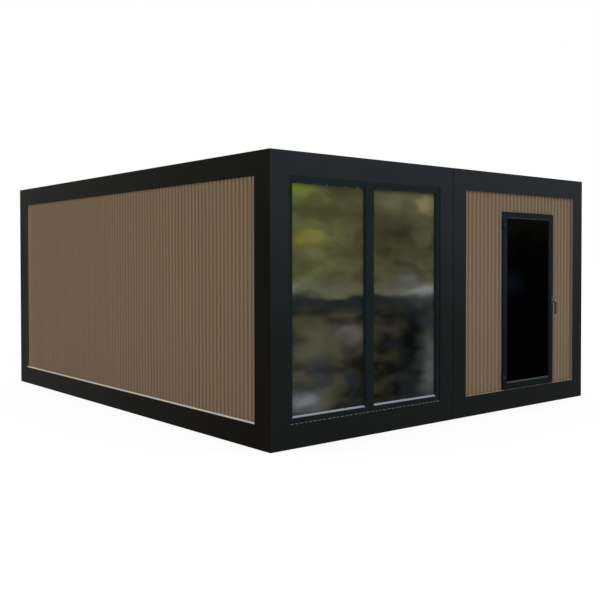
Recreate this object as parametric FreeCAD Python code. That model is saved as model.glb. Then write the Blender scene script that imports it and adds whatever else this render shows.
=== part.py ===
import FreeCAD, Part
import math
import os

# Container house: two steel-framed cabin modules side by side, clad in ribbed sandwich panels,
# with a full-height fixed window in the left module and a glazed door in the right one.
# Millimetres. The front faces -Y, +X is to the right, z = 0 is the ground under the beams,
# and the origin is the middle of the footprint.

# Modules
moduleLength = 6058.0
moduleWidth = 2438.0
moduleHeight = 2725.0
moduleSeam = 2.0
beamHeight = 225.0
postFace = 208.0
postFlank = 247.0
steelWall = 5.0
cornerRadius = 6.0
seat = 0.3

# Sandwich panels
panelThickness = 75.0
sideRecess = 15.0
frontRecess = 24.0
ribPitch = 66.5
ribsPerPanel = 15
ribDepth = 8.0
ribCrest = 20.0
ribSlope = 14.0
panelJoint = 1.0
tongueLength = 14.0
tongueThickness = 24.0

# Floor, ceiling and roof
joistHeight = 120.0
joistWidth = 50.0
joistWall = 4.0
joistSpacing = 720.0
deckThickness = 18.0
deckMargin = 3.0
ceilingThickness = 18.0
purlinHeight = 150.0
roofPitch = 250.0
roofCrest = 70.0
roofFlank = 30.0
roofDepth = 35.0
roofSheetWall = 3.0
roofMargin = 4.0

# Seals in the seam between the modules
sealWidth = 40.0
sealSetBack = 20.0

# Trim strips
flashingHeight = 18.0
flashingLip = 2.0
footStripHeight = 5.0
edgeReturn = 2.0
edgeSeal = 12.0
edgeSealDepth = 6.0

# Window
windowPacker = 10.0
windowTopPacker = 15.0
windowSetBack = 8.0
windowDepth = 80.0
windowLip = 37.0
windowJamb = 47.0
windowHead = 43.0
windowSill = 40.0
windowSillRise = 19.0
windowMullion = 103.0
windowRebate = 14.0
windowGlass = 24.0
windowBead = 15.0

# Door frame and leaf
doorPacker = 10.0
doorFromPost = 419.0
doorWidth = 960.0
overDoor = 215.0
doorProud = 12.0
doorFrameFace = 16.0
leafReveal = 8.0
leafGap = 6.0
flangeThickness = 14.0
flangeGap = 5.0
leafDepth = 60.0
leafStile = 52.0
leafBottomRail = 37.0
leafBevel = 12.0
leafFootBevel = 38.0
leafBevelDepth = 20.0
leafEdgeBevel = 3.0
leafGlass = 20.0
leafRebate = 6.0
leafBead = 10.0

# Door hinges
hingeRadius = 7.0
hingePin = 4.0
hingeBoreClearance = 0.1
hingeSetBack = 3.0
hingeKnuckle = 30.0
hingeWing = 3.0
hingeWingReach = 20.0
hingeWingClear = 2.0
hingeFromEnd = 100.0

# Lock plates: one in the leaf's edge, one in the jamb across the gap
lockPlateWidth = 20.0
lockPlateLength = 240.0
lockPlateThickness = 3.0
lockPlateDrop = 60.0
lockPlateSetBack = 10.0

# Door handle
handleHeight = 998.0
handleFromEdge = 30.0
roseWidth = 22.0
roseHeight = 94.0
roseThickness = 8.0
neckRadius = 8.0
neckReachOut = 60.0
neckReachIn = 48.0
gripWidth = 20.0
gripThickness = 14.0
gripLength = 160.0
gripChamfer = 2.0
elbowOuter = 30.0
elbowInner = 16.0
neckCollar = 6.0
spindleHalf = 4.0
spindleClearance = 0.1

# Places worked out from the sizes above
halfLength = moduleLength / 2
outerX = moduleWidth + moduleSeam / 2
innerX = moduleSeam / 2
frontY = -halfLength
topBeamZ = moduleHeight - beamHeight
sideBeam = sideRecess + panelThickness
frontBeam = frontRecess + panelThickness
bayLeft = innerX + postFace
bayRight = outerX - postFace
doorLow = beamHeight + doorPacker
doorTop = topBeamZ - overDoor
doorEnd = bayRight - doorFromPost
doorX = doorEnd - doorWidth
leafFront = frontY - doorProud
flangeBack = leafFront + flangeThickness
leafBack = leafFront + leafDepth
frameFront = flangeBack + flangeGap
frameBack = frontY + frontBeam
leafX = doorX + leafReveal
leafEnd = doorEnd - leafReveal
leafLow = doorLow + leafReveal
leafTop = doorTop - leafReveal
leafLap = doorFrameFace + leafGap - leafReveal
glassFront = leafFront + leafBevelDepth
hingeX = doorX
hingeY = leafFront + hingeSetBack
handleX = leafEnd - handleFromEdge
handleZ = doorLow + handleHeight
lockPlateLow = handleZ - lockPlateDrop - lockPlateLength / 2
V = FreeCAD.Vector


def box(low, high):
    size = [high[i] - low[i] for i in range(3)]
    return Part.makeBox(size[0], size[1], size[2], V(*low))


def face(points):
    return Part.Face(Part.makePolygon([V(*p) for p in points] + [V(*points[0])]))


def prism(outline, low, high):
    # outline in x, y, drawn upwards
    return face([(x, y, low) for x, y in outline]).extrude(V(0, 0, high - low))


def barX(outline, low, high):
    # outline in y, z, drawn along x
    return face([(low, y, z) for y, z in outline]).extrude(V(high - low, 0, 0))


def barY(outline, low, high):
    # outline in x, z, drawn along y
    return face([(x, low, z) for x, z in outline]).extrude(V(0, high - low, 0))


def mirrorX(shape):
    return shape.mirror(V(0, 0, 0), V(1, 0, 0))


def mirrorY(shape):
    return shape.mirror(V(0, 0, 0), V(0, 1, 0))


def bothSides(shape):
    return [mirrorX(shape), shape]


def turned(shape, angle):
    copy = shape.copy()
    copy.rotate(V(0, 0, 0), V(0, 0, 1), angle)
    return copy


def roundUpright(shape, x, y, radius):
    # round the upright edge that stands at x, y
    edges = [
        e
        for e in shape.Edges
        if all(abs(v.X - x) < 0.01 and abs(v.Y - y) < 0.01 for v in e.Vertexes)
    ]
    return shape.makeFillet(radius, edges)


def tube(low, high, wall, along):
    # rectangular tube, open at both ends along one axis
    inner = [(low[i] + wall, high[i] - wall) for i in range(3)]
    inner[along] = (low[along], high[along])
    return box(low, high).cut(box([a for a, b in inner], [b for a, b in inner]))


def save(name, solids):
    shape = Part.Compound(solids) if len(solids) > 1 else solids[0]
    shape.exportStep("parts/" + name + ".step")


# Steel frame of a module


def cornerPost(x, y, towardsX, towardsY):
    # closed L section: one leg behind the front or rear face, one behind the side
    def leg(wall):
        ax, ay = x + towardsX * wall, y + towardsY * wall
        bx = x + towardsX * (postFace - wall)
        by = y + towardsY * (postFlank - wall)
        cx = x + towardsX * (sideBeam - wall)
        cy = y + towardsY * (frontBeam - wall)
        return prism(
            [(ax, ay), (bx, ay), (bx, cy), (cx, cy), (cx, by), (ax, by)], beamHeight, topBeamZ
        )

    return roundUpright(leg(0), x, y, cornerRadius).cut(leg(steelWall))


def cornerBlock(x, y, towardsX, towardsY, low, high):
    xs = sorted((x, x + towardsX * postFace))
    ys = sorted((y, y + towardsY * postFlank))
    return roundUpright(box((xs[0], ys[0], low), (xs[1], ys[1], high)), x, y, cornerRadius)


def steelFrame():
    posts = {
        "front_corner_posts": (outerX, frontY, -1, 1),
        "front_middle_posts": (innerX, frontY, 1, 1),
        "rear_corner_posts": (outerX, -frontY, -1, -1),
        "rear_middle_posts": (innerX, -frontY, 1, -1),
    }
    blocks = {"floor": [], "roof": []}
    levels = {"floor": (0, beamHeight), "roof": (topBeamZ, moduleHeight)}
    for name, place in posts.items():
        save(name, bothSides(cornerPost(*place)))
        for level, heights in levels.items():
            blocks[level] += bothSides(cornerBlock(*place, *heights))
    for level, (low, high) in levels.items():
        save(level + "_corner_blocks", blocks[level])
        front = tube((bayLeft, frontY, low), (bayRight, frontY + frontBeam, high), steelWall, 0)
        alongY = halfLength - postFlank
        side = tube((outerX - sideBeam, -alongY, low), (outerX, alongY, high), steelWall, 1)
        middle = tube((innerX, -alongY, low), (innerX + sideBeam, alongY, high), steelWall, 1)
        save(level + "_front_beams", bothSides(front))
        save(level + "_rear_beams", bothSides(mirrorY(front)))
        save(level + "_side_beams", bothSides(side))
        save(level + "_middle_beams", bothSides(middle))


def seamSeals():
    # compressed strips that fill the seam between the middle beams and the middle posts
    alongY = halfLength - postFlank
    seals = []
    for low in (beamHeight - sealSetBack - sealWidth, topBeamZ + sealSetBack):
        seals.append(box((-innerX, -alongY, low), (innerX, alongY, low + sealWidth)))
    upright = box(
        (-innerX, frontY + sealSetBack, beamHeight),
        (innerX, frontY + sealSetBack + sealWidth, topBeamZ),
    )
    save("module_seam_seals", seals + [upright, mirrorY(upright)])


# Floor, ceiling and roof between the beams


def crossBars(low, high, wall):
    # channels that span a module from beam to beam, evenly spaced and open to the rear
    alongY = halfLength - postFlank
    clear = 2 * alongY - joistWidth
    count = math.ceil(clear / joistSpacing)
    bars = []
    for i in range(count + 1):
        y = -alongY + i * clear / count
        outline = [
            (y, low),
            (y + joistWidth, low),
            (y + joistWidth, low + wall),
            (y + wall, low + wall),
            (y + wall, high - wall),
            (y + joistWidth, high - wall),
            (y + joistWidth, high),
            (y, high),
        ]
        bars += bothSides(barX(outline, innerX + sideBeam, outerX - sideBeam))
    return bars


def roomSheet(low, high, margin):
    # board over one module, from wall face to wall face, notched round the middle posts
    endY = halfLength - frontBeam - margin
    sheet = box((innerX, -endY, low), (outerX - sideBeam - margin, endY, high))
    notch = box(
        (innerX, halfLength - postFlank - margin, low), (innerX + sideBeam + margin, endY, high)
    )
    return sheet.cut(notch).cut(mirrorY(notch))


def roofSheet(base):
    # trapezoidal sheet whose ribs run across the module
    endY = halfLength - frontBeam - roofMargin
    count = int(2 * endY // roofPitch)
    start = -count * roofPitch / 2
    under = [(-endY, base)]
    for i in range(count):
        y = start + i * roofPitch + (roofPitch - roofCrest - 2 * roofFlank) / 2
        under += [
            (y, base),
            (y + roofFlank, base + roofDepth),
            (y + roofFlank + roofCrest, base + roofDepth),
            (y + 2 * roofFlank + roofCrest, base),
        ]
    under.append((endY, base))
    over = [(y, z + roofSheetWall) for y, z in reversed(under)]
    sheet = barX(
        under + over, innerX + sideBeam + roofMargin, outerX - sideBeam - roofMargin
    )
    for x in (innerX, outerX - postFace - roofMargin):
        for y in (-halfLength, halfLength - postFlank - roofMargin):
            corner = box(
                (x, y, base - 1),
                (x + postFace + roofMargin, y + postFlank + roofMargin, moduleHeight),
            )
            sheet = sheet.cut(corner)
    return sheet


def floorAndRoof():
    save("floor_joists", crossBars(beamHeight - joistHeight, beamHeight, joistWall))
    save("floor_boards", bothSides(roomSheet(beamHeight, beamHeight + deckThickness, deckMargin)))
    save("ceiling_boards", bothSides(roomSheet(topBeamZ - ceilingThickness, topBeamZ, deckMargin)))
    save("roof_purlins", crossBars(topBeamZ, topBeamZ + purlinHeight, joistWall))
    save("roof_sheets", bothSides(roofSheet(topBeamZ + purlinHeight)))


# Sandwich panels, drawn with the outer face towards -Y and their length along X


def ribsOver(start, end):
    # whole ribs spread evenly: how many there are, and from one to the next
    count = max(1, round((end - start) / ribPitch))
    return count, (end - start) / count


def panelOutline(start, end, firstRib, ribs, pitch, tongue, groove):
    outline = [(start, ribDepth)]
    for i in range(ribs):
        x = firstRib + i * pitch + (pitch - ribCrest - 2 * ribSlope) / 2
        outline += [
            (x, ribDepth),
            (x + ribSlope, 0),
            (x + ribSlope + ribCrest, 0),
            (x + 2 * ribSlope + ribCrest, ribDepth),
        ]
    outline.append((end, ribDepth))
    middle = panelThickness / 2
    half = tongueThickness / 2
    if tongue:
        outline += [
            (end, middle - half),
            (end + tongueLength, middle - half + panelJoint),
            (end + tongueLength, middle + half - panelJoint),
            (end, middle + half),
        ]
    outline += [(end, panelThickness), (start, panelThickness)]
    if groove:
        depth = tongueLength + panelJoint
        outline += [
            (start, middle + half + panelJoint),
            (start + depth, middle + half),
            (start + depth, middle - half),
            (start, middle - half - panelJoint),
        ]
    return outline


def panelWall(start, end):
    # tongued and grooved panels from start to end
    ribs, pitch = ribsOver(start, end)
    panels = []
    for first in range(0, ribs, ribsPerPanel):
        count = min(ribsPerPanel, ribs - first)
        rib = start + first * pitch
        last = first + count == ribs
        left = rib + panelJoint / 2 if first else start
        right = end if last else rib + count * pitch - panelJoint / 2
        outline = panelOutline(left, right, rib, count, pitch, not last, first > 0)
        panels.append(prism(outline, beamHeight, topBeamZ))
    return panels


def moved(shapes, x, y, angle):
    placed = []
    for shape in shapes:
        copy = turned(shape, angle)
        copy.translate(V(x, y, 0))
        placed.append(copy)
    return placed


def walls():
    alongY = halfLength - postFlank
    sidePanels = panelWall(-alongY, alongY)
    save("left_wall", moved(sidePanels, -outerX + sideRecess, 0, -90))
    save("right_wall", moved(sidePanels, outerX - sideRecess, 0, 90))
    bay = panelWall(bayLeft, bayRight)
    rear = moved(bay, 0, halfLength - frontRecess, 180)
    save("rear_wall", rear + [mirrorX(panel) for panel in rear])
    frontWall()


def frontWall():
    # the door bay: one ribbed panel from the middle post to the edge seal, cut into the pieces
    # beside and over the door
    start = bayLeft
    end = bayRight - edgeSeal
    ribs, pitch = ribsOver(start, end)
    outline = panelOutline(start, end, start, ribs, pitch, False, False)
    whole = moved([prism(outline, beamHeight, topBeamZ)], 0, frontY + frontRecess, 0)[0]
    regions = {
        "front_wall_left_of_door": ((start, doorX - seat), beamHeight),
        "front_wall_right_of_door": ((doorEnd + seat, end), beamHeight),
        "front_wall_over_door": ((doorX, doorEnd), doorTop + seat),
    }
    for name, ((left, right), low) in regions.items():
        region = box((left, frontY, low), (right, frontY + frontBeam, topBeamZ))
        save(name, whole.common(region).Solids)


def trims():
    alongY = halfLength - postFlank
    foot = sideRecess - seat
    flashing = [
        (outerX, beamHeight),
        (outerX, beamHeight + flashingLip),
        (outerX - foot, beamHeight + flashingHeight),
        (outerX - foot, beamHeight),
    ]
    save("side_base_flashings", bothSides(barY(flashing, -alongY, alongY)))
    recess = frontY + frontRecess - seat
    strips = []
    for left, right, depth in (
        (-bayRight, -bayLeft, frontY + windowSetBack - seat),
        (bayLeft, doorX - seat, recess),
        (doorX, doorEnd, frameFront - seat),
        (doorEnd + seat, bayRight, recess),
    ):
        strips.append(
            box((left, frontY, beamHeight), (right, depth, beamHeight + footStripHeight))
        )
    save("front_foot_strips", strips)
    low = beamHeight + footStripHeight
    returns = []
    for x in (bayLeft, bayRight - edgeReturn):
        returns.append(box((x, frontY, low), (x + edgeReturn, recess, topBeamZ)))
    save("front_edge_returns", returns)
    seal = box(
        (bayRight - edgeSeal, frontY + frontRecess + edgeSealDepth, beamHeight),
        (bayRight, frontY + frontBeam, topBeamZ),
    )
    save("front_edge_seal", [seal])


# Fixed window of the left module


def window():
    left, right = -bayRight, -bayLeft
    low, high = beamHeight + windowPacker, topBeamZ - windowTopPacker
    face0 = frontY + windowSetBack
    lip = face0 + windowLip
    back = face0 + windowDepth
    packerBack = back - windowSetBack
    save(
        "window_packers",
        [
            box((left, face0, beamHeight), (right, packerBack, low)),
            box((left, face0, high), (right, packerBack, topBeamZ)),
        ],
    )
    jambOutline = [
        (left, face0),
        (left + windowJamb, face0),
        (left + windowJamb, lip),
        (left + windowJamb - windowRebate, lip),
        (left + windowJamb - windowRebate, back),
        (left, back),
    ]
    middle = (left + right) / 2
    jamb = prism(jambOutline, low, high)
    otherJamb = jamb.mirror(V(middle, 0, 0), V(1, 0, 0))
    head = barX(
        [
            (face0, high),
            (face0, high - windowHead),
            (lip, high - windowHead),
            (lip, high - windowHead + windowRebate),
            (back, high - windowHead + windowRebate),
            (back, high),
        ],
        left,
        right,
    )
    sillTop = low + windowSill + windowSillRise
    sill = barX(
        [
            (face0, low),
            (face0, low + windowSill),
            (lip, sillTop),
            (lip, sillTop - windowRebate),
            (back, sillTop - windowRebate),
            (back, low),
        ],
        left,
        right,
    )
    halfBar = windowMullion / 2
    halfStem = halfBar - windowRebate
    mullion = prism(
        [
            (middle - halfBar, face0),
            (middle + halfBar, face0),
            (middle + halfBar, lip),
            (middle + halfStem, lip),
            (middle + halfStem, back),
            (middle - halfStem, back),
            (middle - halfStem, lip),
            (middle - halfBar, lip),
        ],
        low,
        high,
    )
    head = head.cut(jamb).cut(otherJamb)
    sill = sill.cut(jamb).cut(otherJamb)
    mullion = mullion.cut(head).cut(sill)
    save("window_jambs", [jamb, otherJamb])
    save("window_head", [head])
    save("window_sill", [sill])
    save("window_mullion", [mullion])

    panes = []
    beads = []
    paneLow = sillTop - windowRebate + seat
    paneHigh = high - windowHead + windowRebate - seat
    lights = (
        (left + windowJamb - windowRebate, middle - halfStem),
        (middle + halfStem, right - windowJamb + windowRebate),
    )
    for a, b in lights:
        a, b = a + seat, b - seat
        paneBack = lip + seat + windowGlass
        panes.append(box((a, lip + seat, paneLow), (b, paneBack, paneHigh)))
        outer = box((a, paneBack + seat, paneLow), (b, back, paneHigh))
        inner = box(
            (a + windowBead, paneBack, paneLow + windowBead),
            (b - windowBead, back + 1, paneHigh - windowBead),
        )
        beads.append(outer.cut(inner))
    save("window_glass", panes)
    save("window_inner_beads", beads)


# Door: frame, leaf, hinges, lock plates and handle


def doorFrame():
    inner = doorFrameFace
    jambs = []
    for x in (doorX, doorEnd - inner):
        jambs.append(box((x, frameFront, doorLow), (x + inner, frameBack, doorTop)))
    strike = box(
        (doorEnd - inner, flangeBack + lockPlateSetBack, lockPlateLow),
        (
            doorEnd - inner + lockPlateThickness,
            flangeBack + lockPlateSetBack + lockPlateWidth,
            lockPlateLow + lockPlateLength,
        ),
    )
    jambs[1] = jambs[1].cut(strike)
    save("strike_plate", [strike])
    across = (doorX + inner, doorEnd - inner)
    save("door_frame_jambs", jambs)
    save(
        "door_frame_head",
        [box((across[0], frameFront, doorTop - inner), (across[1], frameBack, doorTop))],
    )
    save(
        "door_threshold",
        [box((across[0], frameFront, doorLow), (across[1], frameBack, doorLow + inner))],
    )
    save("door_packer", [box((doorX, frameFront, beamHeight), (doorEnd, frameBack, doorLow))])


def leafSection(depthOfFace, bevel, edgeBevel):
    # from the outer edge inwards: flat face, bevelled lip, the rebate behind the glass, then the
    # body that passes inside the frame and the flange that laps over it
    lip = depthOfFace + bevel
    return [
        (0, leafFront),
        (depthOfFace, leafFront),
        (lip, glassFront),
        (lip - leafRebate, glassFront),
        (lip - leafRebate, leafBack),
        (leafLap + edgeBevel, leafBack),
        (leafLap, flangeBack),
        (0, flangeBack),
    ]


def leaf():
    side = leafSection(leafStile, leafBevel, 0)
    lock = leafSection(leafStile, leafBevel, leafEdgeBevel)
    foot = leafSection(leafBottomRail, leafFootBevel, 0)
    envelope = box((leafX, leafFront, leafLow), (leafEnd, flangeBack, leafTop)).fuse(
        box(
            (leafX + leafLap, flangeBack, leafLow + leafLap),
            (leafEnd - leafLap, leafBack, leafTop - leafLap),
        )
    )
    hingeStile = prism([(leafX + x, y) for x, y in side], leafLow, leafTop).common(envelope)
    lockStile = prism([(leafEnd - x, y) for x, y in lock], leafLow, leafTop).common(envelope)
    topRail = barX([(y, leafTop - z) for z, y in side], leafX, leafEnd).common(envelope)
    bottomRail = barX([(y, leafLow + z) for z, y in foot], leafX, leafEnd).common(envelope)
    plate = lockPlate()
    save("leaf_hinge_stile", hingeStile.Solids)
    save("leaf_lock_stile", lockStile.cut(handleBore()).cut(plate).Solids)
    save("lock_faceplate", [plate])
    for name, rail in (("leaf_top_rail", topRail), ("leaf_bottom_rail", bottomRail)):
        save(name, [longest(rail.cut(hingeStile).cut(lockStile))])

    inset = leafStile + leafBevel - leafRebate + seat
    footInset = leafBottomRail + leafFootBevel - leafRebate + seat
    low = (leafX + inset, glassFront + seat, leafLow + footInset)
    high = (leafEnd - inset, glassFront + seat + leafGlass, leafTop - inset)
    save("leaf_glass", [box(low, high)])
    outer = box((low[0], high[1] + seat, low[2]), (high[0], leafBack, high[2]))
    inner = box(
        (low[0] + leafBead, high[1], low[2] + leafBead),
        (high[0] - leafBead, leafBack + leafBead, high[2] - leafBead),
    )
    save("leaf_inner_beads", [outer.cut(inner)])


def lockPlate():
    # let into the edge of the lock stile, which leans back by leafEdgeBevel
    near = lockPlateSetBack
    far = near + lockPlateWidth
    lean = leafEdgeBevel / (leafBack - flangeBack)
    edge = leafEnd - leafLap
    outline = [
        (edge - lean * near, flangeBack + near),
        (edge - lean * far, flangeBack + far),
        (edge - lean * far - lockPlateThickness, flangeBack + far),
        (edge - lean * near - lockPlateThickness, flangeBack + near),
    ]
    return prism(outline, lockPlateLow, lockPlateLow + lockPlateLength)


def longest(rail):
    # a rail runs between the stiles, so what lies beyond them isn't part of it
    return max(rail.Solids, key=lambda solid: solid.BoundBox.XLength)


def upright(radius, low, high):
    return Part.makeCylinder(radius, high - low, V(hingeX, hingeY, low))


def hinges():
    # the frame's knuckles and pin hold on to the jamb's outer side, the leaf's on to its face
    fixed = []
    moving = []
    wingEnd = frontY + frontRecess - hingeWingClear
    for low in (doorLow + hingeFromEnd, doorTop - hingeFromEnd - 3 * hingeKnuckle):
        levels = [low + i * hingeKnuckle for i in range(4)]
        frameHalf = upright(hingePin, levels[0], levels[3])
        for a, b in ((levels[0], levels[1] - seat), (levels[2] + seat, levels[3])):
            wing = box((hingeX - hingeWing, hingeY, a), (hingeX, wingEnd, b))
            frameHalf = frameHalf.fuse(upright(hingeRadius, a, b)).fuse(wing)
        fixed.append(frameHalf.removeSplitter())
        a, b = levels[1], levels[2]
        wing = box((hingeX, leafFront - hingeWing, a), (leafX + hingeWingReach, leafFront, b))
        knuckle = upright(hingeRadius, a, b).fuse(wing)
        moving.append(knuckle.cut(upright(hingePin + hingeBoreClearance, a - seat, b + seat)))
    save("door_frame_hinges", fixed)
    save("leaf_hinges", moving)


def handleBore():
    half = spindleHalf + spindleClearance
    return Part.makeCylinder(
        half * math.sqrt(2), leafDepth + 2, V(handleX, leafFront - 1, handleZ), V(0, 1, 0)
    )


def rose(low, high):
    # flat plate with round ends, bored for the neck
    radius = roseWidth / 2
    straight = roseHeight / 2 - radius
    plate = box(
        (handleX - radius, low, handleZ - straight), (handleX + radius, high, handleZ + straight)
    )
    for z in (handleZ - straight, handleZ + straight):
        plate = plate.fuse(Part.makeCylinder(radius, high - low, V(handleX, low, z), V(0, 1, 0)))
    bore = Part.makeCylinder(
        neckRadius + hingeBoreClearance, high - low + 2, V(handleX, low - 1, handleZ), V(0, 1, 0)
    )
    return plate.cut(bore).removeSplitter()


def lever(start, outward, reach):
    # round neck out of the leaf, then a bar that bends down at a wide elbow and ends in a round
    # tip
    def at(across, up):
        return V(handleX - gripWidth / 2, start + outward * across, handleZ + up)

    def arc(centre, radius, fromAngle, toAngle):
        points = []
        for angle in (fromAngle, (fromAngle + toAngle) / 2, toAngle):
            turn = math.radians(angle)
            points.append(
                at(centre[0] + radius * math.cos(turn), centre[1] + radius * math.sin(turn))
            )
        return Part.Arc(*points).toShape()

    def line(a, b):
        return Part.LineSegment(at(*a), at(*b)).toShape()

    near = reach - gripThickness / 2
    far = reach + gripThickness / 2
    half = gripWidth / 2
    foot = near - elbowInner - neckCollar
    tip = -gripLength + gripThickness / 2
    edges = [
        line((foot, half), (far - elbowOuter, half)),
        arc((far - elbowOuter, half - elbowOuter), elbowOuter, 90, 0),
        line((far, half - elbowOuter), (far, tip)),
        arc((reach, tip), gripThickness / 2, 0, -180),
        line((near, tip), (near, -half - elbowInner)),
        arc((near - elbowInner, -half - elbowInner), elbowInner, 0, 90),
        line((near - elbowInner, -half), (foot, -half)),
        line((foot, -half), (foot, half)),
    ]
    bar = Part.Face(Part.Wire(edges)).extrude(V(gripWidth, 0, 0))
    sides = [
        e
        for e in bar.Edges
        if max(abs(v.X - e.Vertexes[0].X) for v in e.Vertexes) < 0.01
        and min(outward * (v.Y - start) for v in e.Vertexes) > foot + 0.01
    ]
    bar = bar.makeChamfer(gripChamfer, sides)
    neck = Part.makeCylinder(neckRadius, foot, V(handleX, start, handleZ), V(0, outward, 0))
    return neck.fuse(bar).removeSplitter()


def handle():
    half = spindleHalf
    outer = lever(leafFront - seat, -1, neckReachOut)
    inner = lever(leafBack + seat, 1, neckReachIn)
    spindle = box(
        (handleX - half, leafFront - seat, handleZ - half),
        (handleX + half, leafBack + seat, handleZ + half),
    )
    roses = [
        rose(leafFront - roseThickness, leafFront),
        rose(leafBack, leafBack + roseThickness),
    ]
    save("handle_roses", roses)
    save("handle_outer_lever", [outer])
    save("handle_inner_lever", [inner])
    save("handle_spindle", [spindle])


os.makedirs("parts", exist_ok=True)
steelFrame()
seamSeals()
floorAndRoof()
walls()
trims()
window()
doorFrame()
leaf()
hinges()
handle()
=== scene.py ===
import math
import bpy
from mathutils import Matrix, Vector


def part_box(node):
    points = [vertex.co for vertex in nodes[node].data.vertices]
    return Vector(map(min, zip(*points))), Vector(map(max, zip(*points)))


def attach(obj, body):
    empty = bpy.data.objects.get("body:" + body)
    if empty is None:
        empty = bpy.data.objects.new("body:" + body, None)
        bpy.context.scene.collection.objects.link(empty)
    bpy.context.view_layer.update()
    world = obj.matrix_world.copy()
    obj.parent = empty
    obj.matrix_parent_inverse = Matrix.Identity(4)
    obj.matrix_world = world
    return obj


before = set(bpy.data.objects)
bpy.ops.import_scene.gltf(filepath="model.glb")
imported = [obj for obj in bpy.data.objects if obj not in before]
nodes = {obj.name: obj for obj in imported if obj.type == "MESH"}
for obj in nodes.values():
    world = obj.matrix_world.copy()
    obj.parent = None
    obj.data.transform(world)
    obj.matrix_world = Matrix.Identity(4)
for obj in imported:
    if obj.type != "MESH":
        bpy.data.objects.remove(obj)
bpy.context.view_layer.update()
print("frame loaded")


# Shader helpers


class Wire:
    # an output socket that expressions can use

    def __init__(self, tree, socket):
        self.tree = tree
        self.socket = socket

    def math(self, operation, *values):
        return self.tree.node(
            "ShaderNodeMath", {"operation": operation}, dict(enumerate(values))
        )

    def __add__(self, other):
        return self.math("ADD", self, other)

    def __radd__(self, other):
        return self.math("ADD", other, self)

    def __sub__(self, other):
        return self.math("SUBTRACT", self, other)

    def __rsub__(self, other):
        return self.math("SUBTRACT", other, self)

    def __mul__(self, other):
        return self.math("MULTIPLY", self, other)

    def __rmul__(self, other):
        return self.math("MULTIPLY", other, self)

    def __truediv__(self, other):
        return self.math("DIVIDE", self, other)

    def __rtruediv__(self, other):
        return self.math("DIVIDE", other, self)

    def __pow__(self, other):
        return self.math("POWER", self, other)

    def __abs__(self):
        return self.math("ABSOLUTE", self)

    def least(self, other):
        return self.math("MINIMUM", self, other)

    def most(self, other):
        return self.math("MAXIMUM", self, other)

    def whole(self):
        return self.math("FLOOR", self)

    def fraction(self):
        return self.math("FRACT", self)


class Tree:
    # the nodes of one material or of the world

    def __init__(self, owner):
        owner.use_nodes = True
        self.nodes = owner.node_tree.nodes
        self.links = owner.node_tree.links
        self.nodes.clear()

    def node(self, kind, settings=None, sockets=None, output=0):
        made = self.nodes.new(kind)
        for name, value in (settings or {}).items():
            setattr(made, name, value)
        for key, value in (sockets or {}).items():
            if isinstance(value, Wire):
                self.links.new(value.socket, made.inputs[key])
            else:
                made.inputs[key].default_value = value
        return Wire(self, made.outputs[output]) if made.outputs else made

    def outputOf(self, wire, name):
        return Wire(self, wire.socket.node.outputs[name])

    def point(self):
        return self.node("ShaderNodeTexCoord", output="Object")

    def parts(self, vector):
        split = self.node("ShaderNodeSeparateXYZ", {}, {0: vector})
        return [self.outputOf(split, axis) for axis in "XYZ"]

    def normal(self):
        return self.parts(self.node("ShaderNodeNewGeometry", output="Normal"))

    def scaled(self, vector, factors):
        return self.node(
            "ShaderNodeVectorMath", {"operation": "MULTIPLY"}, {0: vector, 1: factors}
        )

    def noise(self, vector, scale, detail=2.0, roughness=0.5):
        return self.node(
            "ShaderNodeTexNoise",
            {"noise_dimensions": "3D"},
            {"Vector": vector, "Scale": scale, "Detail": detail, "Roughness": roughness},
        )

    def ease(self, value, low, high):
        # 0 below low, 1 above high, smooth between them
        return self.node(
            "ShaderNodeMapRange",
            {"interpolation_type": "SMOOTHSTEP"},
            {"Value": value, "From Min": low, "From Max": high},
        )

    def mix(self, mask, below, above):
        # colours
        return self.node(
            "ShaderNodeMix",
            {"data_type": "RGBA"},
            {0: mask, 6: below, 7: above},
            output=2,
        )

    def tint(self, colour, amount):
        # colour times a value
        if not isinstance(colour, Wire):
            colour = colour[:3]
        return self.node(
            "ShaderNodeVectorMath", {"operation": "SCALE"}, {0: colour, "Scale": amount}
        )

    def bump(self, height, strength, distance):
        return self.node(
            "ShaderNodeBump",
            {},
            {"Height": height, "Strength": strength, "Distance": distance},
        )

    def surface(self, sockets):
        shader = self.node("ShaderNodeBsdfPrincipled", {}, sockets)
        self.node("ShaderNodeOutputMaterial", {}, {"Surface": shader})


def shade(red, green, blue):
    # a screen colour, 0 to 255, as the linear values that Blender uses
    def linear(value):
        value /= 255
        return value / 12.92 if value <= 0.04045 else ((value + 0.055) / 1.055) ** 2.4

    return (linear(red), linear(green), linear(blue), 1.0)


def newFinish(name):
    material = bpy.data.materials.new(name)
    return material, Tree(material)


def dress(material, *names):
    for name in names:
        for place in nodes[name].material_slots:
            place.material = material


def allOf(*starts):
    return [name for name in nodes if name.startswith(starts)]


facing = (0.5, 0.9)  # a face's normal along an axis, from not facing that way to facing it


# Black paint of the steel frame

paint = {
    # painted light: the paint turns from a darker foot to a lighter top, a painted sheen
    "top": shade(42, 45, 48),
    "foot": shade(25, 26, 26),
    "rise": (0.45, 3.4),  # the heights between which foot turns into top
    "wander": 0.5,
    "wanderScale": 0.7,
    # painted shade: the flanks are painted darker than the front, and darker towards the foot
    "flankTop": shade(20, 20, 14),
    "flankFoot": shade(14, 12, 7),
    "flankRise": (1.8, 2.7),
    # painted light: a light brown on the rear post's shaded flank
    "returns": shade(72, 64, 56),
    "recessLiftAcross": 0.002,  # where the painted light on the rear post's flank starts, beside and before the wall's corner
    "recessLiftAlong": (0.01, 0.005),
    "cloudScale": 2.3,
    "peelScale": 260.0,
    "roughness": 0.42,
    "gloss": 0.015,
}


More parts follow.
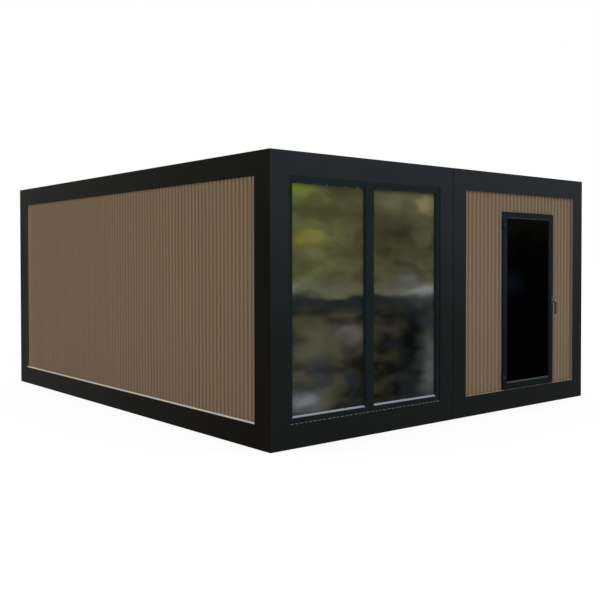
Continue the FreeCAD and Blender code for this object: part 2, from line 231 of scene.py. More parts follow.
def framePaint():
    material, tree = newFinish("framePaint")
    place = tree.point()
    x, y, z = tree.parts(place)
    nx, ny, _ = tree.normal()
    wander = (tree.noise(place, paint["wanderScale"]) - 0.5) * paint["wander"]
    # painted light: lighter towards the top, darker towards the foot
    colour = tree.mix(tree.ease(z + wander, *paint["rise"]), paint["foot"], paint["top"])
    # painted shade on the flanks
    flank = tree.mix(tree.ease(z, *paint["flankRise"]), paint["flankFoot"], paint["flankTop"])
    colour = tree.mix(tree.ease(abs(nx), *facing), colour, flank)
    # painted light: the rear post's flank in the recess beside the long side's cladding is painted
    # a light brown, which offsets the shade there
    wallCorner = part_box("right_wall")[1]
    start, full = paint["recessLiftAlong"]
    recessLift = (tree.ease(0 - ny, *facing)
               * tree.ease(abs(x), wallCorner.x - paint["recessLiftAcross"], wallCorner.x)
               * tree.ease(y, wallCorner.y - start, wallCorner.y - full))
    colour = tree.mix(recessLift, colour, paint["returns"])
    cloud = tree.noise(place, paint["cloudScale"], 4.0)
    colour = tree.tint(colour, 0.85 + cloud * 0.3)
    peel = tree.noise(place, paint["peelScale"])
    tree.surface({
        "Base Color": colour,
        "Roughness": paint["roughness"] + (cloud - 0.5) * 0.12,
        "Specular IOR Level": paint["gloss"],
        "Normal": tree.bump(peel, 0.12, 0.001),
    })
    return material


dress(framePaint(), *allOf(
    "floor_corner", "roof_corner", "front_corner", "front_middle", "rear_corner", "rear_middle",
    "floor_front", "floor_rear", "floor_side", "floor_middle",
    "roof_front", "roof_rear", "roof_side", "roof_middle",
))
print("frame painted")


# Ribbed panels: brown outside, pale sheet inside

cladding = {
    # painted shade: crests are painted lighter and valleys darker, and the long sides take their
    # own lit and shaded copies of these
    "crest": shade(127, 108, 89),
    "valley": shade(107, 89, 70),
    "sideCrest": shade(130, 110, 87),
    "sideValley": shade(107, 87, 66),
    "middle": 0.6,  # the tone that crest and valley fade to, 0 valley and 1 crest
    "fade": 0.8,
    "fadeAlong": (-2.8, 1.6),
    "liftUnderBeam": 0.07,  # how far down from the roof beam the panel is painted lighter
    "liftByRearPost": 0.21,  # and how far from the rear post
    # painted light: how much lighter the panel is painted there
    "liftAmount": 0.2,
    "cloudScale": 3.0,
    "grainScale": 420.0,
    "corner": 0.02,  # how softly the long side's tones meet the front's at a corner
    "inside": shade(214, 212, 206),
    "roughness": 0.55,
    "gloss": 0.06,
    "ribDepth": 0.008,
    "skin": 0.06,  # how deep the brown skin goes before the pale inner sheet starts
    "skinEdge": 0.002,
}


def panelFinish():
    material, tree = newFinish("brownPanel")
    place = tree.point()
    x, y, z = tree.parts(place)
    sideFace = -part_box("left_wall")[0].x
    frontFace = -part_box("front_wall_left_of_door")[0].y
    # how far a point lies behind the outer face of its wall
    sideDepth, endDepth = sideFace - abs(x), frontFace - abs(y)
    depth = sideDepth.least(endDepth)
    # painted shade: the deeper a point lies in a groove, the darker it is painted
    groove = tree.ease(depth, 0.0, cladding["ribDepth"])
    onSide = tree.ease(endDepth - sideDepth, 0.0, cladding["corner"])
    # the painted rib shade fades on the long sides towards the rear, so crest and groove grow alike
    fade = onSide * tree.ease(y, *cladding["fadeAlong"]) * cladding["fade"]
    middle = cladding["middle"]
    crest = tree.mix(onSide, cladding["crest"], cladding["sideCrest"])
    valley = tree.mix(onSide, cladding["valley"], cladding["sideValley"])
    colour = tree.mix((groove - middle) * (1 - fade) + middle, crest, valley)
    cloud = tree.noise(tree.scaled(place, (1.0, 1.0, 0.35)), cladding["cloudScale"], 4.0)
    grain = tree.noise(tree.scaled(place, (1.0, 1.0, 0.08)), cladding["grainScale"])
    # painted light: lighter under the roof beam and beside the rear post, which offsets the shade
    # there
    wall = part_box("left_wall")[1]
    paintedLift = (tree.ease(z, wall.z - cladding["liftUnderBeam"], wall.z)
                 .most(tree.ease(y, wall.y - cladding["liftByRearPost"], wall.y)) * onSide)
    colour = tree.tint(colour, 0.93 + cloud * 0.1 + grain * 0.04 + paintedLift * cladding["liftAmount"])
    skin = cladding["skin"]
    inner = tree.ease(depth, skin, skin + cladding["skinEdge"])
    colour = tree.mix(inner, colour, cladding["inside"])
    tree.surface({
        "Base Color": colour,
        "Roughness": cladding["roughness"] + (grain - 0.5) * 0.1,
        "Specular IOR Level": cladding["gloss"],
        "Normal": tree.bump(grain, 0.1, 0.0008),
    })
    return material


walls = ("left_wall", "right_wall", "rear_wall", "front_wall_left_of_door",
         "front_wall_right_of_door", "front_wall_over_door")
dress(panelFinish(), *walls)

# the ribs' edges are rolled, so they are softened
rolled = {
    "width": 0.003,
    "segments": 2,
    "angle": 20,
}


def soften(name):
    bevel = nodes[name].modifiers.new("soften", "BEVEL")
    bevel.width = rolled["width"]
    bevel.segments = rolled["segments"]
    bevel.limit_method = "ANGLE"
    bevel.angle_limit = math.radians(rolled["angle"])
    bevel.use_clamp_overlap = True
    bevel.harden_normals = False


for name in walls:
    soften(name)
print("panels finished")


# Trims: flashings, foot strips, edge returns, seals and packers

trims = {
    "flashing": shade(198, 190, 177),
    "soiled": shade(124, 106, 88),
    "soil": (0.008, 0.003),  # where the flashing's top turns soiled, measured down from it
    "cloudScale": 6.0,
    "speckScale": 90.0,
    "stripPale": shade(142, 125, 105),
    "stripBroken": shade(108, 103, 92),
    "dashPitch": 0.056,
    "dashWander": 1.6,
    "dashWanderScale": 9.0,
    "dashEdge": (0.16, 0.36),
    "stripEdge": 0.01,
    "stripDark": shade(26, 26, 26),
    # painted light: the edge returns are painted a lighter brown than the wall, which offsets the
    # shade of the corner they sit in
    "edge": shade(140, 120, 100),
    "edgeScale": 5.0,
    # painted light: the seal is painted lighter than its own colour, which offsets the shade of its
    # groove
    "seal": shade(128, 113, 100),
    "packer": shade(27, 33, 34),
    "rubber": shade(14, 14, 15),
    "rubberScale": 40.0,
}


def flashingFinish():
    material, tree = newFinish("creamFlashing")
    place = tree.point()
    cloud = tree.noise(place, trims["cloudScale"], 4.0)
    speck = tree.noise(place, trims["speckScale"])
    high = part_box("side_base_flashings")[1].z
    start, full = trims["soil"]
    soiled = tree.ease(tree.parts(place)[2], high - start, high - full)
    colour = tree.mix(soiled, trims["flashing"], trims["soiled"])
    colour = tree.tint(colour, 0.9 + cloud * 0.14 + (speck - 0.5) * 0.1)
    tree.surface({
        "Base Color": colour,
        "Roughness": 0.5 + (cloud - 0.5) * 0.2,
        "Specular IOR Level": 0.3,
        "Normal": tree.bump(speck, 0.1, 0.001),
    })
    return material


def stripFinish():
    material, tree = newFinish("tanFootStrip")
    place = tree.point()
    x = tree.parts(place)[0]
    along = tree.scaled(place, (1.0, 0.0, 0.0))
    wander = tree.noise(along, trims["dashWanderScale"], 3.0, 0.6)
    phase = (x / trims["dashPitch"] + wander * trims["dashWander"]).fraction()
    dash = 1 - tree.ease(abs(phase - 0.5), *trims["dashEdge"])
    broken = tree.tint(trims["stripBroken"], 0.5 + wander)
    # whole beside the door, broken where a frame stands on it
    doorLow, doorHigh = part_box("door_packer")
    edge = trims["stripEdge"]
    underDoor = (tree.ease(x, doorLow.x - edge, doorLow.x)
                 * (1 - tree.ease(x, doorHigh.x, doorHigh.x + edge)))
    beside = tree.ease(x, 0.0, 0.1) * (1 - underDoor)
    colour = tree.mix(dash, trims["stripDark"], broken)
    colour = tree.mix(beside, colour, trims["stripPale"])
    tree.surface({"Base Color": colour, "Roughness": 0.6, "Specular IOR Level": 0.2})
    return material


def edgeFinish():
    material, tree = newFinish("brownEdge")
    place = tree.point()
    cloud = tree.noise(place, trims["edgeScale"], 3.0)
    # painted light: a lighter brown than the wall
    tree.surface({
        "Base Color": tree.tint(trims["edge"], 0.9 + cloud * 0.2),
        "Roughness": 0.5,
        "Specular IOR Level": 0.25,
    })
    return material


def rubberFinish(name, colour):
    material, tree = newFinish(name)
    place = tree.point()
    cloud = tree.noise(place, trims["rubberScale"], 3.0)
    tree.surface({
        "Base Color": tree.tint(colour, 0.7 + cloud * 0.6),
        "Roughness": 0.7 + (cloud - 0.5) * 0.2,
        "Specular IOR Level": 0.1,
        "Normal": tree.bump(cloud, 0.15, 0.001),
    })
    return material


dress(flashingFinish(), "side_base_flashings")
dress(stripFinish(), "front_foot_strips")
dress(edgeFinish(), "front_edge_returns")
dress(rubberFinish("brownSeal", trims["seal"]), "front_edge_seal")
dress(rubberFinish("darkPacker", trims["packer"]), "window_packers", "door_packer")
blackRubber = rubberFinish("blackRubber", trims["rubber"])
dress(blackRubber, "module_seam_seals")
print("trims finished")


# Window and door frames: dark blue-green powder coat

coat = {
    "window": shade(23, 30, 32),
    "door": shade(20, 25, 27),
    "roughness": 0.4,
    "gloss": 0.02,
    "cloudScale": 3.0,
    "gritScale": 700.0,
    # painted light: how much lighter a flank is painted than the front, and the flank by the
    # hinges, which offsets their shade
    "flank": 1.7,
    "hingeFlank": 3.6,
    "hingeBand": (0.02, 0.01),  # how far from the hinge line that starts and is full
    # painted light: the same of faces that look down, with painted glints there
    "underside": 3.0,
    "glint": 6.0,
    "glintScale": 22.0,
    "glintEdge": (0.42, 0.58),
    # painted light: how light the coat is painted at the foot and at the top, and the heights of
    # foot and top
    "windowRise": (0.92, 1.22),
    "doorRise": (0.66, 1.22),
    "heights": (0.3, 2.5),
}

# a painted highlight on the sloping ledge under the glass: colour, and where it starts and is full,
# measured back from the front of the steel frame
ledges = {
    "window": {"colour": shade(156, 160, 168), "start": 0.012, "full": 0.022},
    "door": {"colour": shade(84, 92, 100), "start": -0.004, "full": 0.010},
    "streakScale": 30.0,
}


def frameCoat(name, kind):
    material, tree = newFinish(name)
    place = tree.point()
    x, y, z = tree.parts(place)
    cloud = tree.noise(place, coat["cloudScale"], 3.0)
    grit = tree.noise(place, coat["gritScale"])
    nx, ny, nz = tree.normal()
    ledge = ledges[kind]
    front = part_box("front_corner_posts")[0].y
    # painted highlight on the upward sloping ledges, streaked
    slope = (tree.ease(nz, 0.25, 0.4) * (1 - tree.ease(nz, 0.9, 0.95))
             * tree.ease(0 - ny, 0.1, 0.2))
    ledgeSheen = slope * tree.ease(y - front, ledge["start"], ledge["full"])
    streaks = tree.noise(tree.scaled(place, (1.0, 4.0, 4.0)), ledges["streakScale"], 3.0, 0.6)
    metalAndSheen = tree.tint(ledge["colour"], 0.7 + streaks * 0.6)
    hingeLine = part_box("leaf_hinge_stile")[0].x
    far, near = coat["hingeBand"]
    byHinges = (tree.ease(x, hingeLine - far, hingeLine - near)
                * (1 - tree.ease(x, hingeLine + near, hingeLine + far)))
    flank = byHinges * (coat["hingeFlank"] - coat["flank"]) + coat["flank"]
    # painted glints, broken, where a head or a top rail looks down on the glass
    along = tree.scaled(place, (1.0, 0.0, 0.0))
    glints = tree.ease(tree.noise(along, coat["glintScale"]), *coat["glintEdge"])
    # painted light on the flanks, and painted light and glints on the undersides
    lift = (1 + tree.ease(abs(nx), 0.6, 0.8) * (flank - 1)
            + tree.ease(0 - nz, 0.5, 0.8) * (glints * coat["glint"] + coat["underside"] - 1))
    # painted light: darker at the foot, lighter at the top
    low, high = coat[kind + "Rise"]
    rise = tree.ease(z, *coat["heights"]) * (high - low) + low
    powder = tree.tint(coat[kind], (0.85 + cloud * 0.3) * lift * rise)
    tree.surface({
        "Base Color": tree.mix(ledgeSheen, powder, metalAndSheen),
        "Roughness": coat["roughness"] + (grit - 0.5) * 0.1,
        "Specular IOR Level": coat["gloss"],
        "Normal": tree.bump(grit, 0.15, 0.0005),
    })
    return material


dress(frameCoat("windowCoat", "window"), "window_jambs", "window_head", "window_sill",
      "window_mullion", "window_inner_beads")
dress(frameCoat("doorCoat", "door"), "door_frame_jambs", "door_frame_head",
      "door_threshold", "leaf_hinge_stile", "leaf_lock_stile", "leaf_top_rail",
      "leaf_bottom_rail", "leaf_inner_beads")
print("frames coated")


# Mirror glass of the window: a painted reflection of a green slope above dark stony ground

pane = {
    "slopePale": shade(98, 101, 66),
    "slopeDeep": shade(66, 70, 42),
    "slopeBrown": shade(70, 63, 46),
    "slopeShade": shade(50, 48, 34),
    "strip": shade(92, 94, 78),
    "band": shade(20, 28, 33),
    "groundPale": shade(68, 64, 50),
    "groundDeep": shade(20, 21, 18),
    "groundGreen": shade(56, 58, 38),
    "groundBlue": shade(38, 46, 54),
    "shadow": 0.5,
    "line": 1.40,  # height of the line between slope and ground
    "right": (-1.35, -0.95),  # across this stretch the left light's tones turn into the right's
    "sway": (0.55, 0.3),  # how far the noise pushes the picture across and up
    "swayScale": 3.0,
    "softScale": 3.2,
    "blotchScale": 4.4,
    "driftScale": 2.4,
    "fineScale": 9.0,
    "gloss": 0.01,
    "roughness": 0.06,
    "glint": shade(168, 168, 150),
    "glintReach": (0.016, 0.010),  # how far below the head the glints start and are full
    "glintEnd": -1.3,
    "glintScale": 30.0,
    "glintEdge": (0.56, 0.62),
    # soft spots of the painted reflection: middle across and up, reach across and up, colour,
    # strength
    "spots": {
        "youngLeaves": (-2.14, 2.46, 0.16, 0.09, shade(118, 142, 14), 0.9),
        "dryGrass": (-1.95, 1.94, 0.17, 0.08, shade(128, 121, 54), 0.75),
        "sunnyTop": (-0.92, 2.33, 0.22, 0.08, shade(104, 108, 78), 0.7),
        "tanRock": (-0.37, 2.33, 0.13, 0.08, shade(140, 130, 96), 0.8),
        "paleRock": (-0.46, 1.42, 0.23, 0.07, shade(136, 138, 134), 0.9),
        "paleEdge": (-2.12, 1.46, 0.06, 0.05, shade(118, 118, 104), 0.8),
        "tanBank": (-1.88, 0.92, 0.27, 0.14, shade(94, 90, 70), 0.75),
        "greyBank": (-1.40, 0.98, 0.14, 0.07, shade(104, 97, 96), 0.8),
        "pool": (-2.02, 0.40, 0.14, 0.08, shade(118, 122, 124), 0.95),
        "path": (-0.24, 0.54, 0.15, 0.36, shade(86, 91, 91), 0.95),
        "brownShade": (-0.80, 2.00, 0.30, 0.13, shade(48, 45, 31), 0.6),
        "hollow": (-1.38, 0.70, 0.17, 0.17, shade(10, 10, 7), 0.85),
        "blackHollow": (-0.62, 0.90, 0.15, 0.34, shade(5, 6, 4), 0.9),
    },
}


def mirrorGlass():
    material, tree = newFinish("mirrorGlass")
    place = tree.point()
    wide = tree.scaled(place, (0.6, 1.0, 1.4))
    drawn = tree.node("ShaderNodeTexNoise", {},
                      {"Vector": wide, "Scale": pane["swayScale"], "Detail": 2.0}, output="Color")
    dx, _, dz = tree.parts(drawn)
    x, _, z = tree.parts(place)
    swayX, swayZ = pane["sway"]
    across, up = x + (dx - 0.5) * swayX, z + (dz - 0.5) * swayZ
    soft = tree.noise(wide, pane["softScale"])
    blotch = tree.noise(wide, pane["blotchScale"], 1.0)
    drift = tree.noise(tree.scaled(place, (1.0, 1.0, -1.3)), pane["driftScale"])
    right = tree.ease(across, *pane["right"])

    slope = tree.mix(tree.ease(soft, 0.32, 0.66), pane["slopeDeep"], pane["slopePale"])
    brown = tree.ease(across + up * 0.4, -0.95, -0.55) * 0.6 + tree.ease(drift, 0.5, 0.66) * 0.5
    slope = tree.mix(brown.least(0.9), slope, pane["slopeBrown"])
    dusk = tree.ease(blotch, 0.44, 0.66) * (0.2 + right * 0.6)
    slope = tree.mix(dusk, slope, pane["slopeShade"])
    ground = tree.mix(tree.ease(blotch, 0.36, 0.66), pane["groundDeep"], pane["groundPale"])
    ground = tree.mix(tree.ease(drift, 0.52, 0.66) * 0.6, ground, pane["groundGreen"])
    ground = tree.mix(tree.ease(drift, 0.50, 0.36) * 0.85, ground, pane["groundBlue"])
    ground = tree.tint(ground, 1 - right * pane["shadow"])
    line = pane["line"]
    under = tree.ease(up, line - 0.26, line - 0.08)
    ground = tree.mix(under * 0.85, ground, pane["band"])
    colour = tree.mix(tree.ease(up, line - 0.07, line + 0.02), ground, slope)
    strip = (tree.ease(up, line - 0.05, line + 0.02)
             * (1 - tree.ease(up, line + 0.03, line + 0.16)))
    colour = tree.mix(strip * 0.6, colour, pane["strip"])
    for cx, cz, rx, rz, spot, strength in pane["spots"].values():
        h, v = (across - cx) / rx, (up - cz) / rz
        near = 1 / (1 + (h * h + v * v) ** 1.6)
        colour = tree.mix(near * strength, colour, spot)
    fine = tree.noise(wide, pane["fineScale"])
    colour = tree.tint(colour, 0.86 + fine * 0.28)
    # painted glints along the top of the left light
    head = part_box("window_head")[0].z
    spark = tree.noise(tree.scaled(place, (1.0, 0.0, 0.0)), pane["glintScale"])
    start, full = pane["glintReach"]
    end = pane["glintEnd"]
    glint = (tree.ease(spark, *pane["glintEdge"]) * tree.ease(z, head - start, head - full)
             * (1 - tree.ease(x, end, end + 0.05)))
    colour = tree.mix(glint * 0.8, colour, pane["glint"])
    tree.surface({
        "Base Color": colour,
        "Roughness": pane["roughness"] + fine * 0.04,
        "Specular IOR Level": pane["gloss"],
    })
    return material


# painted reflection: the dark pane is painted a faint green towards the top and a blue spot lower
# down
darkPane = {
    "deep": shade(1, 1, 1),
    "driftScale": 2.2,
    "green": shade(9, 12, 7),
    "greenRise": (1.75, 2.25),
    "greenWander": 0.6,
    "blue": shade(9, 15, 22),
    "blueHeight": 1.47,
    "blueReach": 0.22,
    "blueAcross": (0.95, 1.4),
    "gloss": 0.001,
}


def doorGlass():
    material, tree = newFinish("darkGlass")
    place = tree.point()
    drift = tree.noise(place, darkPane["driftScale"])
    x, _, z = tree.parts(place)
    # painted reflection
    high = tree.ease(z + (drift - 0.5) * darkPane["greenWander"], *darkPane["greenRise"])
    colour = tree.mix(high, darkPane["deep"], darkPane["green"])
    blueSpot = ((1 - tree.ease(abs(z - darkPane["blueHeight"]), 0.0, darkPane["blueReach"]))
                * (1 - tree.ease(x, *darkPane["blueAcross"])))
    colour = tree.mix(blueSpot, colour, darkPane["blue"])
    tree.surface({
        "Base Color": colour,
        "Roughness": 0.05 + drift * 0.04,
        "Specular IOR Level": darkPane["gloss"],
    })
    return material


dress(mirrorGlass(), "window_glass")
dress(doorGlass(), "leaf_glass")
print("glass finished")


# Metal of the hinges, the handle and the bare steel

metalAndSheen = {
    "hinge": shade(23, 29, 30),
    "lever": shade(60, 54, 50),
    # painted highlight colour for faces that look up
    "shine": shade(158, 156, 150),
    "plate": shade(40, 48, 58),
    "zinc": shade(168, 172, 174),
    "zincDark": shade(150, 154, 157),
    "cloudScale": 2.0,
    "spangle": 120.0,
    "roofSpangle": 90.0,
    "streakScale": 900.0,
}


def satinMetal(name, colour, shine, roughness, polish):
    # a painted highlight: the shine lies where the piece faces up
    material, tree = newFinish(name)
    place = tree.point()
    nz = tree.normal()[2]
    streaks = tree.noise(tree.scaled(place, (1.0, 1.0, 0.1)), metalAndSheen["streakScale"])
    tone = tree.mix(tree.ease(nz, 0.15, 0.8), colour, shine)
    tree.surface({
        "Base Color": tree.tint(tone, 0.85 + streaks * 0.3),
        "Metallic": polish,
        "Roughness": roughness + (streaks - 0.5) * 0.15,
        "Specular IOR Level": 0.1,
        "Normal": tree.bump(streaks, 0.1, 0.0003),
    })
    return material


def zincFinish(name, scale):
    material, tree = newFinish(name)
    place = tree.point()
    spangle = tree.node("ShaderNodeTexVoronoi", {"feature": "F1"},
                        {"Vector": place, "Scale": scale}, output="Color")
    grey = tree.parts(spangle)[0]
    cloud = tree.noise(place, metalAndSheen["cloudScale"], 4.0)
    tree.surface({
        "Base Color": tree.tint(tree.mix(grey, metalAndSheen["zincDark"], metalAndSheen["zinc"]),
                                0.85 + cloud * 0.25),
        "Metallic": 0.45,
        "Roughness": 0.42 + (grey - 0.5) * 0.16,
        "Specular IOR Level": 0.4,
        "Normal": tree.bump(cloud, 0.08, 0.002),
    })
    return material


# the hinges take the plate colour as their painted highlight
dress(satinMetal("hingeMetal", metalAndSheen["hinge"], metalAndSheen["plate"], 0.45, 0.1),
      "door_frame_hinges", "leaf_hinges")
dress(satinMetal("leverMetal", metalAndSheen["lever"], metalAndSheen["shine"], 0.4, 0.3),
      "handle_outer_lever", "handle_inner_lever", "handle_spindle")
dress(satinMetal("plateMetal", metalAndSheen["plate"], metalAndSheen["shine"], 0.4, 0.3),
      "handle_roses", "lock_faceplate", "strike_plate")
dress(zincFinish("galvanisedSteel", metalAndSheen["spangle"]), "floor_joists", "roof_purlins")
dress(zincFinish("roofSheet", metalAndSheen["roofSpangle"]), "roof_sheets")
print("metal finished")


# Boards

boards = {
    "floor": shade(128, 104, 82),
    "joint": shade(70, 55, 43),
    "ceiling": shade(220, 219, 214),
    "plankWidth": 0.18,
    "jointWidth": 0.004,
    "plankShift": 7.3,  # how far the grain moves on from plank to plank
    "grainStretch": (14.0, 0.8, 1.0),
    "grainScale": 4.0,
    "speckScale": 60.0,
}


def floorFinish():
    material, tree = newFinish("plankFloor")
    place = tree.point()
    across = tree.parts(place)[0] / boards["plankWidth"]
    plank = across.whole()
    edge = abs(across.fraction() - 0.5)
    joint = tree.ease(edge, 0.5 - boards["jointWidth"] / boards["plankWidth"], 0.5)
    offset = tree.node("ShaderNodeCombineXYZ", {}, {0: plank * boards["plankShift"]})
    moved = tree.node("ShaderNodeVectorMath", {"operation": "ADD"}, {0: place, 1: offset})
    grain = tree.noise(tree.scaled(moved, boards["grainStretch"]), boards["grainScale"], 5.0, 0.6)
    colour = tree.tint(boards["floor"], 0.7 + grain * 0.6)
    colour = tree.mix(joint, colour, boards["joint"])
    tree.surface({
        "Base Color": colour,
        "Roughness": 0.5 + (grain - 0.5) * 0.2,
        "Specular IOR Level": 0.3,
        "Normal": tree.bump(grain - joint, 0.2, 0.001),
    })
    return material


def ceilingFinish():
    material, tree = newFinish("ceilingBoard")
    place = tree.point()
    speck = tree.noise(place, boards["speckScale"], 3.0)
    tree.surface({
        "Base Color": tree.tint(boards["ceiling"], 0.95 + speck * 0.08),
        "Roughness": 0.7 + (speck - 0.5) * 0.1,
        "Specular IOR Level": 0.2,
    })
    return material


dress(floorFinish(), "floor_boards")
dress(ceilingFinish(), "ceiling_boards")
print("boards finished")


# Small pieces that the frame doesn't hold


def addPiece(name, corners, faces, material, body):
    mesh = bpy.data.meshes.new(name)
    mesh.from_pydata(corners, [], faces)
    mesh.materials.append(material)
    piece = bpy.data.objects.new(name, mesh)
    bpy.context.scene.collection.objects.link(piece)
    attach(piece, body)
    return piece


# Drip trim over the door: a thin bent sheet that sheds rain past the frame

drip = {
    "height": 0.008,
    "sheet": 0.0012,
    "lip": 0.004,
    "gap": 0.0005,
    "endInset": 0.002,
    "colour": shade(88, 92, 94),
    "dullScale": 14.0,
}


def dripTrim():
    frameLow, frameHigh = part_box("door_frame_jambs")
    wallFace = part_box("front_wall_over_door")[0].y
    back, front = wallFace - drip["gap"], frameLow.y - drip["lip"]
    foot = frameHigh.z + drip["gap"]
    top, sheet = foot + drip["height"], drip["sheet"]
    # the section, from the top of the leg at the wall down to the lip and back
    section = [(back, top), (back - sheet, top), (back - 2 * sheet, foot + 2.5 * sheet),
               (front, foot + 1.4 * sheet), (front, foot), (back, foot)]
    ends = (frameLow.x + drip["endInset"], frameHigh.x - drip["endInset"])
    corners = [(x, y, z) for x in ends for y, z in section]
    count = len(section)
    faces = [tuple(range(count)), tuple(reversed(range(count, 2 * count)))]
    faces += [(i, i + count, (i + 1) % count + count, (i + 1) % count) for i in range(count)]
    material, tree = newFinish("dullAluminium")
    dull = tree.noise(tree.scaled(tree.point(), (1.0, 1.0, 3.0)), drip["dullScale"], 3.0, 0.6)
    tree.surface({
        "Base Color": tree.tint(drip["colour"], 0.55 + dull * 0.9),
        "Metallic": 0.3,
        "Roughness": 0.4 + (dull - 0.5) * 0.2,
        "Specular IOR Level": 0.2,
    })
    addPiece("doorDripTrim", corners, faces, material, "house")


dripTrim()


# Glazing gaskets: a thin rubber line round each pane, in the corner of frame and glass

gasket = {
    "width": 0.0045,
    "proud": 0.0026,
    "gap": 0.0003,
}


def glazingGasket(name, left, right, foot, head, glassFace, body):
    width, proud, gap = gasket["width"], gasket["proud"], gasket["gap"]
    # the section: how far in from the frame, how far in front of the glass
    section = [(gap, gap), (gap, proud), (width * 0.55, proud), (width, proud * 0.45),
               (width, gap)]
    corners = [
        (right - inset if atRight else left + inset, glassFace - reach,
         head - inset if atHead else foot + inset)
        for atRight, atHead in ((0, 0), (1, 0), (1, 1), (0, 1))
        for inset, reach in section
    ]
    count = len(section)
    faces = []
    for corner in range(4):
        here, there = corner * count, (corner + 1) % 4 * count
        for i in range(count):
            j = (i + 1) % count
            faces.append((here + i, here + j, there + j, there + i))
    addPiece(name, corners, faces, blackRubber, body)


def allGaskets():
    # the window: each light lies between jamb and mullion
    jambs, mullion = nodes["window_jambs"].data.vertices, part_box("window_mullion")
    sides = [v.co.x for v in jambs if v.co.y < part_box("window_jambs")[0].y + 0.001]
    leftEdge, rightEdge = (max(x for x in sides if x < mullion[0].x),
                           min(x for x in sides if x > mullion[1].x))
    foot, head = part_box("window_sill")[1].z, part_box("window_head")[0].z
    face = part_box("window_glass")[0].y
    glazingGasket("gasketLeftLight", leftEdge, mullion[0].x, foot, head, face, "house")
    glazingGasket("gasketRightLight", mullion[1].x, rightEdge, foot, head, face, "house")
    glazingGasket("gasketDoor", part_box("leaf_hinge_stile")[1].x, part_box("leaf_lock_stile")[0].x,
                  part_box("leaf_bottom_rail")[1].z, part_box("leaf_top_rail")[0].z,
                  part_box("leaf_glass")[0].y, "door_leaf")


allGaskets()


# Roof screws: one on each crest near both ends of the sheets, a washer under a hexagon head

screw = {
    "fromEdge": 0.155,
    "washerRadius": 0.008,
    "washer": 0.0015,
    "headRadius": 0.005,
    "head": 0.0055,
    "corners": 12,
    "seat": 0.0003,
    "crestWidth": (0.05, 0.1),  # a crest is wider than the first and narrower than the second
    "colour": shade(120, 124, 128),
    # painted highlight colour of the screws' upward faces
    "shine": shade(176, 180, 183),
}


def crestMiddles(edges):
    least, most = screw["crestWidth"]
    return [(a + b) / 2 for a, b in zip(edges, edges[1:]) if least < b - a < most]


def roofScrews():
    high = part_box("roof_sheets")[1]
    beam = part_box("roof_middle_beams")[1].x
    sheet = nodes["roof_sheets"].data.vertices
    inner = min(v.co.x for v in sheet if v.co.x > beam)
    crests = crestMiddles(sorted({round(v.co.y, 3) for v in sheet if v.co.z > high.z - 0.001}))
    across = (high.x - screw["fromEdge"], inner + screw["fromEdge"])
    sides = screw["corners"]
    flat = math.cos(math.pi / 6)  # a hexagon's flats are this much nearer than its corners
    top = high.z + screw["seat"]
    layers = [(screw["washerRadius"], 1.0, 0.0), (screw["washerRadius"], 1.0, screw["washer"]),
              (screw["headRadius"], flat, screw["washer"]),
              (screw["headRadius"], flat, screw["head"])]
    corners, faces = [], []
    for x in [a * side for a in across for side in (-1, 1)]:
        for y in crests:
            start = len(corners)
            for radius, between, height in layers:
                for i in range(sides):
                    reach = radius * (between if i % 2 else 1.0)
                    turn = 2 * math.pi * i / sides
                    corners.append((x + reach * math.cos(turn), y + reach * math.sin(turn),
                                    top + height))
            for layer in range(len(layers) - 1):
                below = start + layer * sides
                faces += [(below + i, below + (i + 1) % sides, below + sides + (i + 1) % sides,
                           below + sides + i) for i in range(sides)]
            last = start + (len(layers) - 1) * sides
            faces.append(tuple(range(last, last + sides)))
            faces.append(tuple(reversed(range(start, start + sides))))
    material = satinMetal("screwMetal", screw["colour"], screw["shine"], 0.35, 0.7)
    addPiece("roofScrews", corners, faces, material, "house")


roofScrews()
print("small pieces made")


# Studio: pale floor, white background, soft light

studio = {
    "floorSize": 400.0,
    "floor": 0.8,
    "floorGlow": 0.75,  # the share of the seen floor that glows, the rest shows the shadow
    "floorWhite": 1.09,
    "worldLight": 0.75,
    "worldTint": (0.97, 0.985, 1.0, 1.0),
    "sunLight": 0.9,
    "sunSpread": 40.0,
    "sunTilt": (52.0, 0.0, -20.0),
}


def seenRays(tree):
    # 1 for rays that the background is seen by: straight, in gloss and through glass
    path = tree.node("ShaderNodeLightPath", output="Is Camera Ray")
    total = path + tree.outputOf(path, "Is Glossy Ray") + tree.outputOf(path, "Is Transmission Ray")
    return total.least(1.0)


def whiteWorld():
    world = bpy.data.worlds.new("studio")
    bpy.context.scene.world = world
    tree = Tree(world)
    white = tree.node("ShaderNodeBackground", {}, {"Color": (1, 1, 1, 1), "Strength": 1.0})
    soft = tree.node("ShaderNodeBackground", {}, {
        "Color": studio["worldTint"], "Strength": studio["worldLight"],
    })
    both = tree.node("ShaderNodeMixShader", {}, {0: seenRays(tree), 1: soft, 2: white})
    tree.node("ShaderNodeOutputWorld", {}, {"Surface": both})


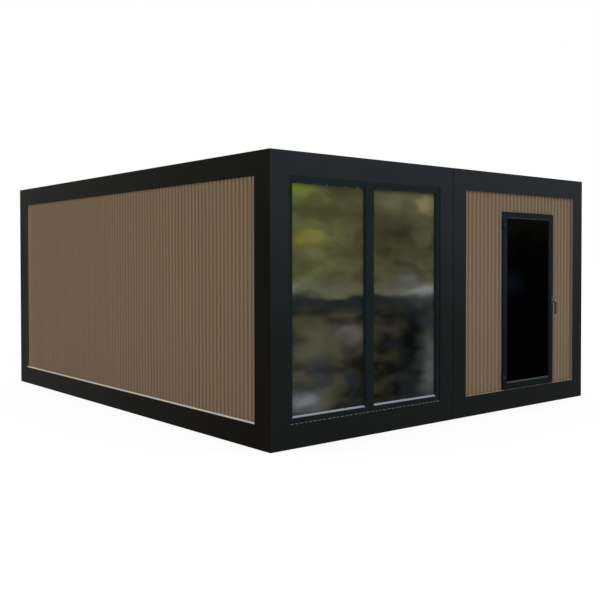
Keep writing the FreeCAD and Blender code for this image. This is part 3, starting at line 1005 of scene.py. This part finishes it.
def paleFloor():
    half = studio["floorSize"] / 2
    mesh = bpy.data.meshes.new("studioFloor")
    mesh.from_pydata([(-half, -half, 0), (half, -half, 0), (half, half, 0), (-half, half, 0)], [],
                     [(0, 1, 2, 3)])
    floor = bpy.data.objects.new("studioFloor", mesh)
    bpy.context.scene.collection.objects.link(floor)
    material, tree = newFinish("paleFloor")
    pale = studio["floor"]
    matt = tree.node("ShaderNodeBsdfDiffuse", {}, {"Color": (pale, pale, pale, 1.0)})
    bright = tree.node("ShaderNodeBsdfDiffuse", {}, {"Color": (1.0, 1.0, 1.0, 1.0)})
    glow = tree.node("ShaderNodeEmission", {},
                     {"Color": (1.0, 1.0, 1.0, 1.0), "Strength": studio["floorWhite"]})
    seen = tree.node("ShaderNodeMixShader", {}, {0: studio["floorGlow"], 1: bright, 2: glow})
    both = tree.node("ShaderNodeMixShader", {}, {0: seenRays(tree), 1: matt, 2: seen})
    tree.node("ShaderNodeOutputMaterial", {}, {"Surface": both})
    mesh.materials.append(material)


def softSun():
    light = bpy.data.lights.new("softSun", "SUN")
    light.energy = studio["sunLight"]
    light.angle = math.radians(studio["sunSpread"])
    lamp = bpy.data.objects.new("softSun", light)
    lamp.rotation_euler = [math.radians(a) for a in studio["sunTilt"]]
    bpy.context.scene.collection.objects.link(lamp)


whiteWorld()
paleFloor()
softSun()

# solved from the straight edges of the house in the photo
camera = {
    "place": (-6.8736, -9.1564, 1.7278),
    "turn": (88.9833, 0.0, -41.4458),
    "lens": 50.674,
    "sensor": 36.0,
    "shift": (-0.0869, -0.0412),
    "sight": 500.0,
}


def photoCamera():
    data = bpy.data.cameras.new("camera")
    data.lens = camera["lens"]
    data.sensor_width = camera["sensor"]
    data.shift_x, data.shift_y = camera["shift"]
    data.clip_end = camera["sight"]
    eye = bpy.data.objects.new("camera", data)
    eye.location = camera["place"]
    eye.rotation_euler = [math.radians(a) for a in camera["turn"]]
    bpy.context.scene.collection.objects.link(eye)
    bpy.context.scene.camera = eye


photoCamera()
bpy.context.scene.view_settings.view_transform = "Standard"
print("studio ready")
